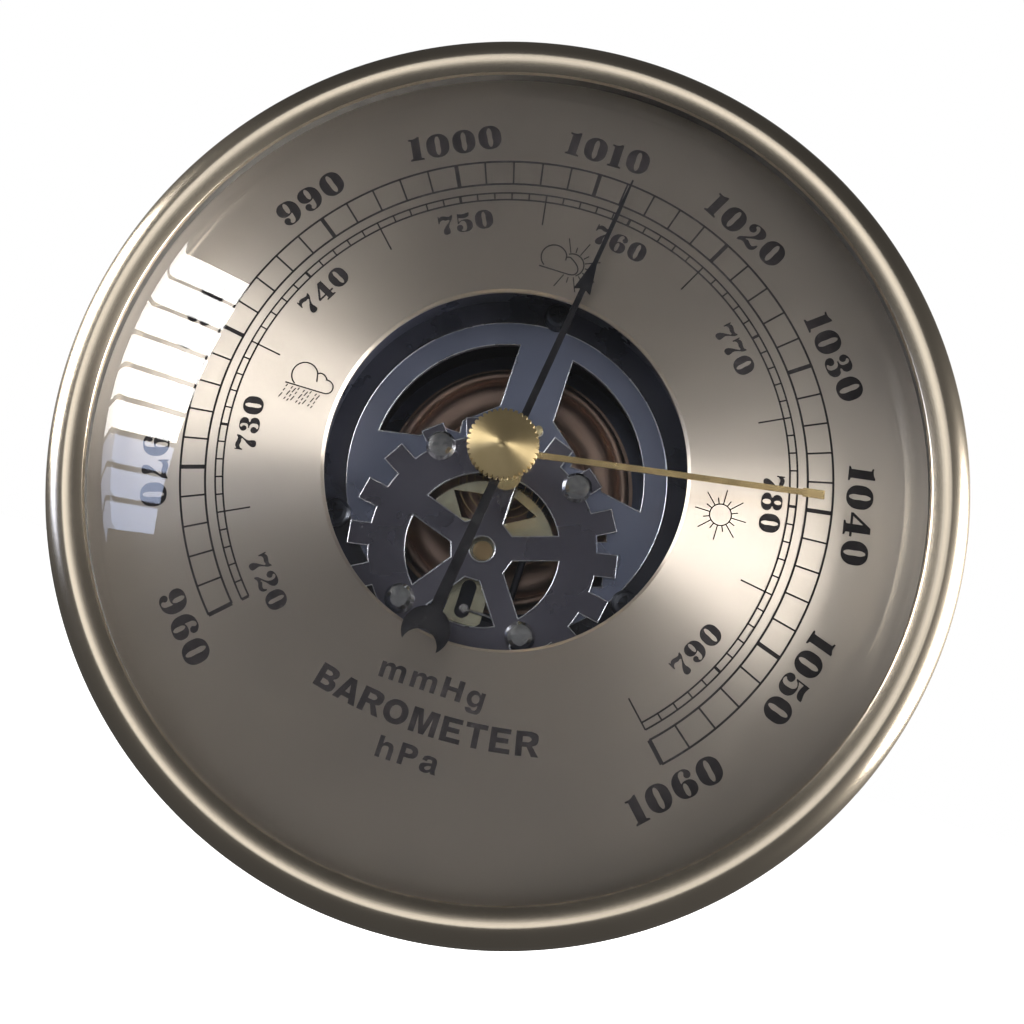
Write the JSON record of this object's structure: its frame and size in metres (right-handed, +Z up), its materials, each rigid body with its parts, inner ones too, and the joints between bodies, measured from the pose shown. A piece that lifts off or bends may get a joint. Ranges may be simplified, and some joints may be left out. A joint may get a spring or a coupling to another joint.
{
  "type": "aneroid barometer",
  "caption": "Round wall aneroid barometer: rolled bezel, domed glass, open-centre dial over a visible capsule movement, pointer and a set hand turned by a front knob.",
  "frame": {"origin": "centre of the flat back face, on the axis of the dial and hands", "axes": "+Z up when hung on a wall, dial faces -Y, +X to the right as seen from the front"},
  "size_m": [0.132, 0.046, 0.132],
  "materials": {
    "spun_bezel": "satin",
    "plated_case": "satin",
    "clear_glass": "gloss",
    "brushed_dial": "brushed",
    "seat_plastic": "matte",
    "gasket_rubber": "matte",
    "black_moulding": "satin",
    "plate_steel": "satin",
    "bright_steel": "polished",
    "train_brass": "satin",
    "capsule_copper": "satin",
    "spring_bronze": "satin",
    "black_hand": "satin",
    "gilt_hand": "polished"
  },
  "bodies": {
    "case": {"bezel": "spun_bezel", "case_drum": "plated_case", "drum_ring": "plated_case", "back_cover": "black_moulding", "cover_screws": "bright_steel", "hanger_plate": "plate_steel", "hanger_rivets": "bright_steel", "crystal": "clear_glass", "crystal_gasket": "gasket_rubber", "spacer_ring": "seat_plastic", "dial": "brushed_dial", "dial_seat": "seat_plastic", "movement_housing": "black_moulding", "housing_screws": "bright_steel", "clamp_screws": "bright_steel", "front_plate": "plate_steel", "wheel_plate": "plate_steel", "plate_screws": "bright_steel", "pillars": "train_brass", "base_plate": "plate_steel", "base_screws": "bright_steel", "bridge_posts": "train_brass", "lower_posts": "train_brass", "rear_bridge": "train_brass", "capsule_front": "capsule_copper", "capsule_rear": "capsule_copper", "capsule_boss": "train_brass", "capsule_stud": "train_brass", "stud_nut": "train_brass", "adjusting_lever": "plate_steel", "lever_rivet": "train_brass", "lever_washer": "train_brass", "arbor_bush": "train_brass", "hairspring": "spring_bronze", "hairspring_stud": "train_brass", "knob_bush": "gilt_hand"},
    "hands": {"pointer": "black_hand", "pointer_hub": "train_brass", "pinion_arbor": "bright_steel", "hairspring_collet": "train_brass"},
    "sector": {"sector_gear": "train_brass", "sector_arbor": "bright_steel"},
    "rocker": {"rocking_shaft": "bright_steel", "drive_arm": "train_brass"},
    "link": {"drive_link": "bright_steel"},
    "post": {"capsule_post": "train_brass"},
    "set_hand": {"set_hand": "gilt_hand", "spring_washer": "spring_bronze", "knob_stem": "gilt_hand", "knob": "gilt_hand"},
    "adjuster": {"adjusting_screw": "train_brass"}
  },
  "joints": [
    {"name": "pointer_turn", "type": "hinge", "parent": "case", "child": "hands", "pos_m": [0, -0.03, 0], "axis": [0, 1, 0], "range_deg": [-141.48, 128.52]},
    {"name": "sector_turn", "type": "hinge", "parent": "case", "child": "sector", "pos_m": [0, -0.0192, -0.012], "axis": [0, 1, 0], "range_deg": [-9.5, 9.5]},
    {"name": "link_slide", "type": "slide", "parent": "case", "child": "link", "axis": [1, 0, 0], "range_m": [-0.0016, 0.0016]},
    {"name": "rocker_turn", "type": "hinge", "parent": "case", "child": "rocker", "pos_m": [0.0062, -0.0149, -0.013], "axis": [0, 0, 1], "range_deg": [-17, 17]},
    {"name": "post_slide", "type": "slide", "parent": "case", "child": "post", "axis": [0, 1, 0], "range_m": [-0.00066, 0.00066]},
    {"name": "set_hand_turn", "type": "hinge", "parent": "case", "child": "set_hand", "pos_m": [0, -0.042, 0], "axis": [0, 1, 0], "continuous": true},
    {"name": "adjust_turn", "type": "hinge", "parent": "case", "child": "adjuster", "pos_m": [0, -0.003, 0.017], "axis": [0, 1, 0], "range_deg": [-360, 360]}
  ],
  "couplings": [
    {"joint": "sector_turn", "follows": "pointer_turn", "ratio": -0.066667},
    {"joint": "link_slide", "follows": "pointer_turn", "m_per_rad": 0.00062667},
    {"joint": "rocker_turn", "follows": "pointer_turn", "ratio": 0.11937},
    {"joint": "post_slide", "follows": "pointer_turn", "m_per_rad": 0.0002626}
  ]
}
